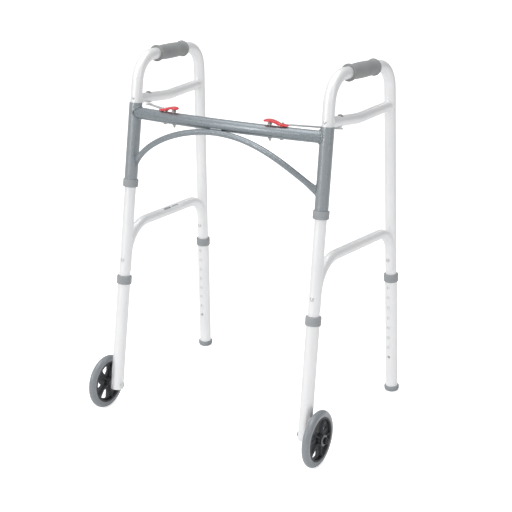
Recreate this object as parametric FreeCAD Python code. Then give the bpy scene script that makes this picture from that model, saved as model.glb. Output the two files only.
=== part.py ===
import FreeCAD, Part
import math
import os

# Folding height-adjustable walking frame, millimetres.
# +X is the user's right, +Y points back to the user, +Z is up, z = 0 is the floor.
# The origin is on the floor, on the middle plane, halfway between the front of
# the wheels and the back of the rear tips.
# The right side is built here; every piece named right_* is mirrored to the left.

Vector = FreeCAD.Vector
X_AXIS = Vector(1, 0, 0)
Z_AXIS = Vector(0, 0, 1)

# ---------------------------------------------------------------- shared dimensions
Y_SHIFT = 60.44           # origin behind the front-leg axis at z = 800

# side-frame plane x = PLANE_X + PLANE_Y*y + PLANE_Z*z, y counted from that axis
PLANE_X, PLANE_Y, PLANE_Z = 251.44, 0.0467, -0.02424
RAKE_HEIGHT = 800.0       # height over which both rakes are counted
FRONT_RAKE = 129.4        # forward travel of the front leg going down
REAR_FOOT_Y = 285.0       # rear leg axis at the floor
REAR_RAKE = 32.7          # backward travel of the rear leg going down

TUBE_R = 12.7             # handle tube and crossbar
TUBE_WALL = 1.6
RUN = 0.05                # clearance between telescoping or turning tubes
OUTER_R = 14.3            # leg extensions and sleeves
BRACE_R = 11.1            # side braces
BRACE_WALL = 1.6


# ---------------------------------------------------------------- helpers
def plane_x(y, z):
    return PLANE_X + PLANE_Y * y + PLANE_Z * z


def side_point(y, z):
    """Point of the right side-frame plane."""
    return Vector(plane_x(y, z), y - Y_SHIFT, z)


def at_z(point, z):
    return Vector(point.x, point.y, z)


def unit(vector):
    result = Vector(vector)
    result.normalize()
    return result


OUTWARD = unit(Vector(1, -PLANE_Y, -PLANE_Z))     # normal of the side frame


def rod(start, direction, radius, length):
    return Part.makeCylinder(radius, length, start, direction)


class Leg:
    """Straight leg axis in the side plane; lean is its change of y per unit of z."""

    def __init__(self, foot_y, lean, inward_sign):
        self.foot_y = foot_y
        self.lean = lean
        self.up = unit(self.point(RAKE_HEIGHT) - self.point(0))
        self.back = unit(self.up.cross(OUTWARD))
        self.inward = self.back * inward_sign     # towards the other leg
        self.radial = unit(self.up.cross(X_AXIS))

    def y_at(self, z):
        return self.foot_y + self.lean * z

    def point(self, z):
        return side_point(self.y_at(z), z)

    def length(self, z0, z1):
        return (self.point(z1) - self.point(z0)).Length

    def rod(self, z0, z1, radius):
        start, end = self.point(z0), self.point(z1)
        return rod(start, unit(end - start), radius, (end - start).Length)

    def outer_tube(self, z0, z1):
        """Tube that slides or turns on the handle tube."""
        return self.rod(z0, z1, OUTER_R).cut(self.rod(z0 - 5, z1 + 5, TUBE_R + RUN))

    def corner(self, z_at_zero, slope, offset=0.0):
        """(y, z) where the leg, moved back by offset, meets z = z_at_zero + slope*y."""
        y = (self.y_at(z_at_zero) + offset) / (1.0 - self.lean * slope)
        return y, z_at_zero + slope * y


FRONT = Leg(-FRONT_RAKE, FRONT_RAKE / RAKE_HEIGHT, 1)
REAR = Leg(REAR_FOOT_Y, -REAR_RAKE / RAKE_HEIGHT, -1)


def clean(shape):
    """Merge split faces and unwrap a lone solid."""
    shape = shape.removeSplitter()
    return shape.Solids[0] if len(shape.Solids) == 1 else shape


def biggest(shape):
    return max(shape.Solids, key=lambda solid: solid.Volume)


def mirror(shape):
    return shape.mirror(Vector(0, 0, 0), X_AXIS)


def as_solid(shape):
    """Solid with its faces turned outward."""
    if shape.ShapeType != "Solid":
        shape = Part.makeSolid(shape)
    if shape.Volume < 0:
        shape.reverse()
    return shape


def polygon_face(points):
    return Part.Face(Part.makePolygon(points + [points[0]]))


def revolve(profile, origin, axis, radial):
    """Full turn of a profile of (distance along axis, radius)."""
    points = [origin + axis * along + radial * radius for along, radius in profile]
    return as_solid(polygon_face(points).revolve(origin, axis, 360))


def hex_prism(base, axis, across_flats, height, side):
    """Hexagonal prism with a corner towards side, which is square to axis."""
    other = axis.cross(side)
    corner_r = across_flats / math.sqrt(3.0)
    points = []
    for k in range(6):
        a = math.radians(60 * k)
        points.append(base + side * (corner_r * math.cos(a)) + other * (corner_r * math.sin(a)))
    return polygon_face(points).extrude(axis * height)


def dome_head(base, axis, radius, height):
    """Low domed head standing on base along axis."""
    ball_r = (radius * radius + height * height) / (2.0 * height)
    ball = Part.makeSphere(ball_r, base + axis * (height - ball_r))
    return ball.common(rod(base, axis, radius + 1, height + 1))


def fillet_path(points, radii):
    """Wire of straight runs joined by tangent arcs."""
    edges = []
    start = points[0]
    for before, corner, after, radius in zip(points, points[1:], points[2:], radii):
        to_before, to_after = unit(before - corner), unit(after - corner)
        half = math.acos(to_before.dot(to_after)) / 2.0
        setback = radius / math.tan(half)
        arc_start = corner + to_before * setback
        arc_end = corner + to_after * setback
        arc_mid = corner + unit(to_before + to_after) * (radius / math.sin(half) - radius)
        edges.append(Part.makeLine(start, arc_start))
        edges.append(Part.Arc(arc_start, arc_mid, arc_end).toShape())
        start = arc_end
    edges.append(Part.makeLine(start, points[-1]))
    return Part.Wire(edges)


def sweep(wire, radius):
    """Round bar along a wire."""
    edge = wire.OrderedEdges[0]
    start = edge.valueAt(edge.FirstParameter)
    circle = Part.makeCircle(radius, start, edge.tangentAt(edge.FirstParameter))
    return as_solid(wire.makePipeShell([Part.Wire(circle)], True, False))


def bent_tube(points, radii, radius, wall, overrun):
    """Outer solid and bore of a bent tube; the bore overruns both ends."""
    first = points[0] + unit(points[0] - points[1]) * overrun
    last = points[-1] + unit(points[-1] - points[-2]) * overrun
    bore_points = [first] + points[1:-1] + [last]
    outer = sweep(fillet_path(points, radii), radius)
    return outer, sweep(fillet_path(bore_points, radii), radius - wall)


# ---------------------------------------------------------------- rivets
BRACE_REACH = TUBE_R + 3.4           # leg axis to the outside of the brace saddle
RIVET_F_Z, RIVET_R_Z = 354.0, 336.0
STOP_Z = 709.0


def brace_rivet(leg, z, front_reach, back_reach):
    """Rivet front to back through a leg: domed head in front, flat tail behind."""
    tail_h = 1.8
    head = leg.point(z) - leg.back * front_reach
    rivet = dome_head(head, leg.back * -1, 4.6, 2.2)
    rivet = rivet.fuse(rod(head, leg.back, 2.4, front_reach + back_reach + tail_h))
    tail = leg.point(z) + leg.back * back_reach
    return clean(rivet.fuse(rod(tail, leg.back, 3.6, tail_h)))


def stop_rivet():
    """Small rivet in the front of the front leg, above the sleeve."""
    head = FRONT.point(STOP_Z) - FRONT.back * TUBE_R
    rivet = dome_head(head, FRONT.back * -1, 3.4, 1.9)
    return clean(rivet.fuse(rod(head, FRONT.back, 1.9, 4.5)))


# ---------------------------------------------------------------- handle tube and grip
HANDLE_BEND = 58.0
TOP_SLOPE = -0.0560                      # fall of the handle centre line to the back
TOP_Z0 = 793.7 - TOP_SLOPE * 70.7        # its height carried on to y = 0
LEG_CUT_Z = 76.0                         # lower end of the inner tubes
HOLE_Z, HOLE_PITCH, HOLE_N = 90.5, 25.4, 8
HOLE_R, BUTTON_R = 3.4, 3.1
GRIP_Y, GRIP_LENGTH = 68.4, 112.0

# front half of the grip, front end to middle: distance along the tube, radius
GRIP_HALF = [
    (0.0, TUBE_R), (0.0, 17.2), (0.9, 18.1), (2.2, 18.3), (3.4, 18.0), (4.4, 17.1),
    (5.2, 15.8), (6.4, 15.7), (7.3, 16.6), (8.6, 16.7), (10.2, 15.5), (12.5, 15.5),
    (20, 15.9), (30, 16.35), (43, 16.7), (GRIP_LENGTH / 2, 16.8)]

# button: distance from the leg axis, radius; the crown stays inside the tube surface
BUTTON_PROFILE = [
    (3.3, 0), (3.3, 4.6), (4.5, 4.6), (4.5, BUTTON_R), (12.30, BUTTON_R),
    (12.45, 2.5), (12.58, 1.6), (12.65, 0.8), (12.67, 0)]

TOP_FRONT = side_point(*FRONT.corner(TOP_Z0, TOP_SLOPE))
TOP_REAR = side_point(*REAR.corner(TOP_Z0, TOP_SLOPE))


def handle_tube(rivets):
    """Front leg, handle and rear leg in one bent tube."""
    points = [FRONT.point(LEG_CUT_Z), TOP_FRONT, TOP_REAR, REAR.point(LEG_CUT_Z)]
    tube, bore = bent_tube(points, [HANDLE_BEND] * 2, TUBE_R, TUBE_WALL, 2)
    tube = tube.cut(bore)
    for rivet in rivets:
        tube = tube.cut(rivet)
    for leg in (FRONT, REAR):
        start = leg.point(HOLE_Z) + leg.inward * 6
        tube = tube.cut(rod(start, leg.inward, BUTTON_R + 0.07, 12))
    return clean(biggest(tube))


def handgrip():
    axis = unit(TOP_REAR - TOP_FRONT)
    start = side_point(GRIP_Y, TOP_Z0 + TOP_SLOPE * GRIP_Y)
    rear_half = [(GRIP_LENGTH - along, radius) for along, radius in GRIP_HALF[-2::-1]]
    return revolve(GRIP_HALF + rear_half, start, axis, unit(OUTWARD.cross(axis)))


def snap_button(leg):
    side = unit(leg.inward.cross(OUTWARD))
    return revolve(BUTTON_PROFILE, leg.point(HOLE_Z), leg.inward, side)


# ---------------------------------------------------------------- upper brace and latch stud
UPPER_BRACE = [(-30.0, 709.76), (112.0, 692.6), (262.0, 693.2)]     # centre line (y, z)
UPPER_BEND = 150.0
STUD_Y = 34.0
STUD = Vector(plane_x(STUD_Y, 700.0), STUD_Y - Y_SHIFT, 0)
STUD_R = 2.95
STUD_TIP_Z = 690.3
FLANGE_H = 1.5                       # stud flange under the brace
STUD_NUT_H = 4.4
(START_Y, START_Z), (BEND_Y, BEND_Z) = UPPER_BRACE[:2]
BRACE_MID_Z = START_Z + (BEND_Z - START_Z) * (STUD_Y - START_Y) / (BEND_Y - START_Y)
FLAT_TOP = BRACE_MID_Z + BRACE_R - 3.0       # seats pressed into the brace at the stud
FLAT_BOTTOM = BRACE_MID_Z - BRACE_R + 1.2


def stud_rod(z, radius, length):
    return rod(at_z(STUD, z), Z_AXIS, radius, length)


def upper_brace():
    points = [side_point(y, z) for y, z in UPPER_BRACE]
    outer, bore = bent_tube(points, [UPPER_BEND], BRACE_R, BRACE_WALL, 3)
    brace = outer.cut(bore)
    brace = brace.cut(FRONT.rod(40, 745, TUBE_R)).cut(REAR.rod(40, 728, TUBE_R))
    brace = biggest(brace)
    # room for the top of the front sleeve
    brace = brace.cut(FRONT.rod(680, 701.3, OUTER_R + 0.6))
    # solid pad and flat seats where the stud passes
    brace = brace.fuse(stud_rod(FLAT_TOP - 1.7, 8.4, 20).common(outer))
    brace = brace.cut(stud_rod(FLAT_TOP, 7.0, 10))
    brace = brace.cut(rod(at_z(STUD, FLAT_BOTTOM), Z_AXIS * -1, 5.6, 10))
    brace = brace.cut(stud_rod(680, STUD_R, 50))
    return clean(biggest(brace))


def latch_stud():
    flange_z = FLAT_BOTTOM - FLANGE_H
    stud = stud_rod(FLAT_BOTTOM, STUD_R, FLAT_TOP - FLAT_BOTTOM + STUD_NUT_H + 1.0)
    stud = stud.fuse(stud_rod(flange_z, 5.2, FLANGE_H))
    return clean(stud.fuse(stud_rod(STUD_TIP_Z, 3.2, flange_z - STUD_TIP_Z)))


def stud_nut():
    """Hexagon nut with its upper corners bevelled."""
    seat = at_z(STUD, FLAT_TOP)
    nut = hex_prism(seat, Z_AXIS, 10.0, STUD_NUT_H, X_AXIS)
    nut = nut.cut(stud_rod(FLAT_TOP - 1, STUD_R, 10))
    bevel = [(0, 0), (0, 5.9), (3.2, 5.9), (STUD_NUT_H, 4.9), (STUD_NUT_H, 0)]
    return clean(nut.common(revolve(bevel, seat, Z_AXIS, X_AXIS)))


# ---------------------------------------------------------------- lower side brace
SADDLE_OFF = 5.0                             # brace ends off the leg axes
SADDLE_F_Y = SADDLE_OFF * 1.0132             # the same measured along y
SADDLE_R_Y = -SADDLE_OFF * 1.0008
SADDLE_F_Z, SADDLE_R_Z = 325.5, 310.0        # lower ends
LOWER_Z0, LOWER_SLOPE = 424.4, -0.069        # height at y = 0, and rise per unit of y
LOWER_BENDS = [74.0, 60.0]                   # front, rear
SOLID_R = 17.6                               # the brace is solid this close to a leg axis


def lower_brace(rivets):
    points = [
        side_point(FRONT.y_at(SADDLE_F_Z) + SADDLE_F_Y, SADDLE_F_Z),
        side_point(*FRONT.corner(LOWER_Z0, LOWER_SLOPE, SADDLE_F_Y)),
        side_point(*REAR.corner(LOWER_Z0, LOWER_SLOPE, SADDLE_R_Y)),
        side_point(REAR.y_at(SADDLE_R_Z) + SADDLE_R_Y, SADDLE_R_Z)]
    outer, bore = bent_tube(points, LOWER_BENDS, BRACE_R, BRACE_WALL, 3)
    bore = biggest(bore.cut(FRONT.rod(300, 500, SOLID_R)).cut(REAR.rod(290, 480, SOLID_R)))
    brace = outer.cut(bore)
    brace = brace.cut(FRONT.rod(280, 520, TUBE_R)).cut(REAR.rod(270, 500, TUBE_R))
    brace = biggest(brace)
    for rivet in rivets:
        brace = brace.cut(rivet)
    return clean(biggest(brace))


# ---------------------------------------------------------------- leg extensions, collars, tip
EXT_F_Z0, EXT_F_Z1 = 52.0, 314.5
EXT_R_Z0, EXT_R_Z1 = 5.0, 296.5
COLLAR_R = 16.8
COLLAR_F_Z0, COLLAR_F_H = 298.5, 19.0
COLLAR_R_Z0, COLLAR_R_H = 280.7, COLLAR_F_H - 0.4
TIP_R = 17.5
TIP_LENGTH = 16.8
TIP_FLOOR = 9.0                      # cup floor above the start of the tip profile
TIP_BASE = REAR.point(-4.0)

# rubber tip: distance up the leg from TIP_BASE, radius
TIP_PROFILE = [
    (0, 0), (0, TIP_R - 4.6), (3.6, TIP_R - 3.4), (5.2, TIP_R - 2.0), (7.4, TIP_R - 0.7),
    (10.2, TIP_R), (14.4, TIP_R - 0.1), (16.0, TIP_R - 0.6), (TIP_LENGTH, TIP_R - 1.8),
    (TIP_LENGTH, OUTER_R), (TIP_FLOOR, OUTER_R), (TIP_FLOOR, 0)]


def extension(leg, z0, z1, end_cutter):
    """Outer leg tube with its row of height holes on the inward side."""
    tube = leg.outer_tube(z0, z1)
    for k in range(HOLE_N):
        centre = leg.point(HOLE_Z) + leg.up * (HOLE_PITCH * k)
        tube = tube.cut(rod(centre + leg.inward * 8, leg.inward, HOLE_R, 12))
    return clean(biggest(tube.cut(end_cutter)))


def collar(leg, z0, height, tube_top):
    """Collar around and just over the top of an extension."""
    top = leg.length(z0, z0 + height)
    step = leg.length(z0, tube_top)
    profile = [
        (0, OUTER_R), (0, COLLAR_R - 0.9), (0.9, COLLAR_R), (top - 2.2, COLLAR_R),
        (top - 0.4, COLLAR_R - 1.4), (top, COLLAR_R - 2.2), (top, TUBE_R + 0.1),
        (step, TUBE_R + 0.1), (step, OUTER_R)]
    return revolve(profile, leg.point(z0), leg.up, leg.radial)


def rear_tip():
    """Rubber cup, cut level with the floor."""
    tip = revolve(TIP_PROFILE, TIP_BASE, REAR.up, REAR.radial)
    floor = REAR.point(0)
    return clean(tip.cut(Part.makeBox(200, 200, 50, floor + Vector(-100, -100, -50))))


# ---------------------------------------------------------------- wheel and axle
WHEEL_R = 62.0
HUB_R = 48.2                         # hub rim, and bore of the tyre
TYRE_CROWN_R, TYRE_HALF_W = 52.5, 8.7
BOSS_HALF = 14.4
BOSS_GAP = 0.1                       # boss to the washers
AXLE_R = 4.0
WASHER_T = 1.6
SPOKES = 5
WINDOW_HALF = math.radians(25)       # half angle of a web window
AXLE_LEG = FRONT.point(WHEEL_R)      # front leg axis at wheel-centre height
WHEEL_C = AXLE_LEG + X_AXIS * 30.2
AXLE_START = AXLE_LEG - X_AXIS * (OUTER_R + 0.18)
SPACER_START = AXLE_LEG + X_AXIS * (OUTER_R + 0.22)
BOSS_END = WHEEL_C + X_AXIS * (BOSS_HALF + BOSS_GAP)


def x_rod(start, radius, length):
    return rod(start, X_AXIS, radius, length)


def tyre():
    profile = [(-7.8, HUB_R)]
    for k in range(13):
        a = math.radians(-90 + 15 * k)
        radius = TYRE_CROWN_R + (WHEEL_R - TYRE_CROWN_R) * math.cos(a)
        profile.append((TYRE_HALF_W * math.sin(a), radius))
    return revolve(profile + [(7.8, HUB_R)], WHEEL_C, X_AXIS, Z_AXIS)


def wheel_hub():
    """Rim, web with five windows, boss and five ribs."""
    profile = [(-8.3, 44.2), (-8.7, HUB_R), (8.7, HUB_R), (8.3, 44.2), (2.4, 42.4), (-2.4, 42.4)]
    rim = revolve(profile, WHEEL_C, X_AXIS, Z_AXIS)
    boss = x_rod(WHEEL_C - X_AXIS * BOSS_HALF, 12.6, 2 * BOSS_HALF)
    web = x_rod(WHEEL_C - X_AXIS * 2.2, 43.2, 4.4)
    for k in range(SPOKES):
        middle = math.radians(29 + 72 * k)
        points = []
        # outer arc one way, narrower inner arc back
        for radius, half in ((41.6, WINDOW_HALF), (17.0, -0.85 * WINDOW_HALF)):
            for j in range(9):
                a = middle - half + 2 * half * j / 8.0
                points.append(WHEEL_C + Vector(-10, radius * math.cos(a), radius * math.sin(a)))
        web = web.cut(polygon_face(points).extrude(Vector(20, 0, 0)))
    hub = rim.fuse(web).fuse(boss)
    for k in range(SPOKES):
        rib = Part.makeBox(16.0, 34.0, 2.4, Vector(-8.0, 11.0, -1.2))
        rib.rotate(Vector(0, 0, 0), X_AXIS, 65 + 72 * k)
        rib.translate(WHEEL_C)
        hub = hub.fuse(rib)
    return clean(hub.cut(x_rod(WHEEL_C - X_AXIS * 30, AXLE_R + 0.05, 60)))


def wheel_axle():
    length = BOSS_END.x + 1.7 + 7.0 + 1.8 - AXLE_START.x
    axle = x_rod(AXLE_START, AXLE_R, length)
    axle = axle.fuse(dome_head(AXLE_START, X_AXIS * -1, 7.0, 4.0))
    return clean(axle.fuse(dome_head(AXLE_START + X_AXIS * length, X_AXIS, AXLE_R, 0.9)))


def axle_washers():
    """Spacer between leg and hub, and a flat washer outside the hub."""
    spacer_length = WHEEL_C.x - BOSS_HALF - BOSS_GAP - SPACER_START.x
    spacer = x_rod(SPACER_START, 9.0, spacer_length)
    spacer = spacer.cut(x_rod(SPACER_START - X_AXIS, AXLE_R, 20))
    washer = x_rod(BOSS_END, 12.0, WASHER_T).cut(x_rod(WHEEL_C, AXLE_R, 30))
    return Part.makeCompound([spacer, washer])


def axle_nut():
    """Hexagon nut with a round neck on its outer side."""
    seat = BOSS_END + X_AXIS * WASHER_T
    nut = hex_prism(seat, X_AXIS, 13.0, 5.0, Z_AXIS).fuse(x_rod(seat, 6.2, 7.2))
    return clean(nut.cut(x_rod(seat - X_AXIS, AXLE_R, 20)))


# ---------------------------------------------------------------- front sleeve and bushing
SLEEVE_Z0, SLEEVE_Z1 = 520.0, 700.0
BUSH_Z0, BUSH_Z1, BUSH_R = 517.0, 534.0, 17.0


def sleeve_bushing():
    """Bushing around and just under the lower end of the sleeve."""
    top = FRONT.length(BUSH_Z0, BUSH_Z1)
    step = FRONT.length(BUSH_Z0, SLEEVE_Z0)
    profile = [
        (0, TUBE_R + 0.1), (0, BUSH_R - 1.6), (1.0, BUSH_R - 0.2), (2.0, BUSH_R),
        (top - 1.0, BUSH_R), (top, BUSH_R - 0.9), (top, OUTER_R), (step, OUTER_R),
        (step, TUBE_R + 0.1)]
    return revolve(profile, FRONT.point(BUSH_Z0), FRONT.up, FRONT.radial)


# ---------------------------------------------------------------- crossbar and its bolts
BAR_Z, BAR_BOW, BAR_RISE = 679.0, 29.3, 4.75     # the bar bows forward and a little up
BAR_END = FRONT.point(BAR_Z).x
BAR_SAG = math.hypot(BAR_BOW, BAR_RISE)
BAR_ARC_R = (BAR_END ** 2 + BAR_SAG ** 2) / (2.0 * BAR_SAG)
FULCRUM_X, GUIDE_X = 141.9, 116.6
PIVOT_HEAD_Z, GUIDE_TOP_Z = 702.5, 704.5
BOLT_R, BOLT_FLANGE_R, BOLT_FLANGE_H = 2.5, 4.2, 1.6


def bar_bulge(x):
    """Part of the full bow reached at x: 1 in the middle, 0 at the ends."""
    return (math.sqrt(BAR_ARC_R ** 2 - x * x) - (BAR_ARC_R - BAR_SAG)) / BAR_SAG


def bar_z(x):
    return BAR_Z + bar_bulge(x) * BAR_RISE


def bar_point(x, z=0.0):
    """Point over or under the bar centre line."""
    return Vector(x, FRONT.y_at(BAR_Z) - bar_bulge(x) * BAR_BOW - Y_SHIFT, z)


def pivot_bolt(x):
    """Bolt with a domed head above the bar and a domed end below."""
    centre, low = bar_point(x), bar_z(x) - TUBE_R
    flange = at_z(centre, low - BOLT_FLANGE_H)
    bolt = rod(at_z(centre, low - 1.0), Z_AXIS, BOLT_R, PIVOT_HEAD_Z - low + 1.0)
    bolt = bolt.fuse(dome_head(at_z(centre, PIVOT_HEAD_Z), Z_AXIS, 4.4, 2.2))
    bolt = bolt.fuse(rod(flange, Z_AXIS, BOLT_FLANGE_R, BOLT_FLANGE_H))
    return clean(bolt.fuse(dome_head(flange, Z_AXIS * -1, 2.8, 1.6)))


def guide_bolt(x):
    """Headless bolt standing through the bar."""
    centre, low = bar_point(x), bar_z(x) - TUBE_R
    flange = at_z(centre, low - BOLT_FLANGE_H)
    bolt = rod(at_z(centre, low - 6.4), Z_AXIS, BOLT_R, GUIDE_TOP_Z - low + 6.4)
    return clean(bolt.fuse(rod(flange, Z_AXIS, BOLT_FLANGE_R, BOLT_FLANGE_H)))


def crossbar(bolts):
    left, middle, right = [bar_point(x, bar_z(x)) for x in (-BAR_END, 0, BAR_END)]
    wire = Part.Wire([Part.Arc(left, middle, right).toShape()])
    bar = sweep(wire, TUBE_R).cut(sweep(wire, TUBE_R - TUBE_WALL))
    leg = FRONT.rod(620, 740, OUTER_R)
    bar = biggest(bar.cut(leg).cut(mirror(leg)))
    for bolt in bolts:
        bar = bar.cut(bolt)
    return clean(biggest(bar))


# ---------------------------------------------------------------- release lever
PIVOT, GUIDE = bar_point(FULCRUM_X), bar_point(GUIDE_X)
STRIP_T = 2.2
STRIP_HALF_W, STRIP_EYE_R = 4.3, 7.4
STRIP_BACK = -7.0                        # strip end beyond the pivot, away from the stud
STRIP_BAR_Z, STRIP_STUD_Z = 696.9, 686.6
FLAT_LENGTH = 20.0                       # level over the bar, then sloping to the stud
BOLT_HOLE_R = 3.2
PADDLE_TURN, HEEL_Z = 11.0, 697.3        # plan angle of the paddle, height of its heel
PADDLE_HALF_W = 8.6

# side outline of the paddle: x, z
PADDLE_SIDE = [
    (156.6, 696.6), (156.9, 697.8), (154.8, 699.0), (148, 700.2), (141, 702.0), (134, 704.8),
    (127, 707.3), (118, 709.0), (110.5, 708.7), (106, 707.3), (103.7, 705.0), (103.5, 703.6),
    (105.2, 702.8), (113, 703.2), (121, 702.4), (128, 700.2), (133, 697.6), (136.5, 695.35),
    (140, 695.2), (146.0, 695.2), (151, 695.35), (155.8, 695.7)]

# outer end of the paddle in plan: x, y from the pivot
PADDLE_END = [
    (138, -7.8), (153, -6.8), (157, -4.8), (158.5, 0), (157, 4.8), (153, 6.8), (138, 7.8)]


def latch_strip():
    """Steel strip from the pivot bolt to the latch stud."""
    along = unit(STUD - PIVOT)
    across = Vector(-along.y, along.x, 0)
    length = (STUD - PIVOT).Length

    def place(distance, offset, z):
        return PIVOT + along * distance + across * offset + Vector(0, 0, z)

    half = [(STRIP_BACK, STRIP_HALF_W), (12, STRIP_HALF_W), (length - 17, STRIP_HALF_W),
            (length - 7, STRIP_EYE_R)]
    plan = list(half)
    for k in range(13):
        a = math.radians(90 - 15 * k)
        plan.append((length + STRIP_EYE_R * math.cos(a), STRIP_EYE_R * math.sin(a)))
    plan += [(distance, -offset) for distance, offset in reversed(half)]

    slope = (STRIP_STUD_Z - STRIP_BAR_Z) / (length - FLAT_LENGTH)
    far = length + 14
    line = [(STRIP_BACK - 3, STRIP_BAR_Z), (FLAT_LENGTH, STRIP_BAR_Z),
            (far, STRIP_BAR_Z + slope * (far - FLAT_LENGTH))]
    edge = [place(distance, -20, z - STRIP_T / 2.0) for distance, z in line]
    edge += [place(distance, -20, z + STRIP_T / 2.0) for distance, z in reversed(line)]
    slab = polygon_face(edge).extrude(across * 40)
    outline = polygon_face([place(distance, offset, 660) for distance, offset in plan])
    strip = slab.common(outline.extrude(Vector(0, 0, 60)))
    strip = strip.cut(stud_rod(670, 4.2, 40))
    return strip.cut(rod(at_z(PIVOT, 670), Z_AXIS, BOLT_HOLE_R, 40))


def release_paddle(strip):
    y = PIVOT.y
    side = polygon_face([Vector(x, y - PADDLE_HALF_W, z) for x, z in PADDLE_SIDE])
    paddle = side.extrude(Vector(0, 2 * PADDLE_HALF_W, 0))
    # plan outline, rounded and widest at the end nearer the middle plane
    outline = []
    for k in range(13):
        a = math.radians(90 + 15 * k)
        outline.append(Vector(112 + 9.4 * math.cos(a), y + 8.4 * math.sin(a), 680))
    outline += [Vector(x, y + offset, 680) for x, offset in PADDLE_END]
    paddle = paddle.common(polygon_face(outline).extrude(Vector(0, 0, 40)))
    paddle.rotate(PIVOT, Z_AXIS, PADDLE_TURN)
    # the paddle stays sharp-edged if its long edges cannot be rounded
    try:
        rounded = paddle.makeFillet(1.0, [e for e in paddle.Edges if e.Length > 6.0])
        if rounded.isValid() and rounded.Volume > 0.8 * paddle.Volume:
            paddle = rounded
    except Exception:
        pass
    turn = math.radians(PADDLE_TURN)
    across = Vector(-math.sin(turn), math.cos(turn), 0)
    heel = rod(at_z(PIVOT, HEEL_Z) - across * 8.8, across, 1.35, 17.6)
    paddle = paddle.fuse(heel).cut(strip)
    # recess for the pivot head, then the two bolt holes
    paddle = paddle.cut(rod(at_z(PIVOT, PIVOT_HEAD_Z - 0.45), Z_AXIS, 5.4, 10))
    paddle = paddle.cut(rod(at_z(PIVOT, 680), Z_AXIS, BOLT_HOLE_R, 30))
    paddle = paddle.cut(rod(at_z(GUIDE, 690), Z_AXIS, 3.3, GUIDE_TOP_Z + 1.5 - 690))
    return clean(biggest(paddle))


SPRING_R, SPRING_WIRE_R, SPRING_TURNS = 4.3, 0.6, 3.5
SPRING_Z0, SPRING_Z1 = bar_z(GUIDE_X) + TUBE_R + 0.05, 702.5
WIRE_FLATS = 10


def lever_spring():
    """Open coil around the guide bolt, its wire a ten-sided bar."""
    height = SPRING_Z1 - SPRING_Z0 - 2 * SPRING_WIRE_R
    helix = Part.makeHelix(height / SPRING_TURNS, height, SPRING_R)
    helix.translate(at_z(GUIDE, SPRING_Z0 + SPRING_WIRE_R))
    edge = helix.Edges[0]
    start = edge.valueAt(edge.FirstParameter)
    away = unit(start - at_z(GUIDE, start.z))
    up = edge.tangentAt(edge.FirstParameter).cross(away)
    section = []
    for k in range(WIRE_FLATS):
        a = 2 * math.pi * k / WIRE_FLATS
        offset = away * (SPRING_WIRE_R * math.cos(a)) + up * (SPRING_WIRE_R * math.sin(a))
        section.append(start + offset)
    section = Part.makePolygon(section + [section[0]])
    return as_solid(Part.Wire(helix.Edges).makePipeShell([section], True, True))


# ---------------------------------------------------------------- arch brace
ARCH_R = 6.35
ARCH_SECTIONS = 41
FLAT_SHARE = 0.075                   # share of the curve that flattens at each end

# right half of the arch: distance from the middle plane, offset in front of the
# front-leg axis, height
ARCH_POINTS = [
    (0, 40.9, 669.6), (45, 41.6, 666.5), (90, 42.6, 656.9), (120, 41.7, 646.2),
    (150, 38.0, 631.3), (180, 29.4, 611.5), (205, 16.7, 590.6), (221, 6.3, 575.4),
    (229, 0.8, 567.8)]


def arch_brace(bar):
    """Rod arched from sleeve to sleeve under the crossbar, flattened at its ends."""
    stations = [(-x, offset, z) for x, offset, z in ARCH_POINTS[:0:-1]] + ARCH_POINTS
    curve = Part.BSplineCurve()
    curve.interpolate([Vector(x, FRONT.y_at(z) - offset - Y_SHIFT, z)
                       for x, offset, z in stations])
    first, last = curve.FirstParameter, curve.LastParameter
    intervals = ARCH_SECTIONS - 1
    sections = []
    for i in range(ARCH_SECTIONS):
        u = first + (last - first) * i / intervals
        centre = curve.value(u)
        tangent = unit(curve.tangent(u)[0])
        # the ends are wide in the plane of the arch and thin front to back
        flat = max(0.0, 1.0 - min(i, intervals - i) / float(intervals) / FLAT_SHARE)
        flat = flat * flat * (3 - 2 * flat)
        side = unit(tangent.cross(Vector(0, 1, -0.16)))
        depth = unit(side.cross(tangent))
        wide, thin = ARCH_R * (1 + 0.45 * flat), ARCH_R * (1 - 0.62 * flat)
        points = []
        for k in range(24):
            a = math.radians(15 * k)
            points.append(centre + side * (wide * math.cos(a)) + depth * (thin * math.sin(a)))
        section = Part.BSplineCurve()
        section.interpolate(points, True)
        sections.append(Part.Wire([section.toShape()]))
    arch = as_solid(Part.makeLoft(sections, True, False))
    leg = FRONT.rod(500, 720, OUTER_R)
    return clean(biggest(arch.cut(bar).cut(leg).cut(mirror(leg))))


# ---------------------------------------------------------------- assembly and export
brace_rivets = [
    brace_rivet(FRONT, RIVET_F_Z, TUBE_R, BRACE_REACH),
    brace_rivet(REAR, RIVET_R_Z, BRACE_REACH, TUBE_R)]
stop = stop_rivet()
pivot_bolts = [pivot_bolt(side * FULCRUM_X) for side in (1, -1)]
guide_bolts = [guide_bolt(side * GUIDE_X) for side in (1, -1)]
bar = crossbar(pivot_bolts + guide_bolts)
strip = latch_strip()
axle_hole = x_rod(AXLE_START - X_AXIS * 5, AXLE_R, 40)
tip_seat = rod(TIP_BASE + REAR.up * TIP_FLOOR, REAR.up * -1, 30, 30)

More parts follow.
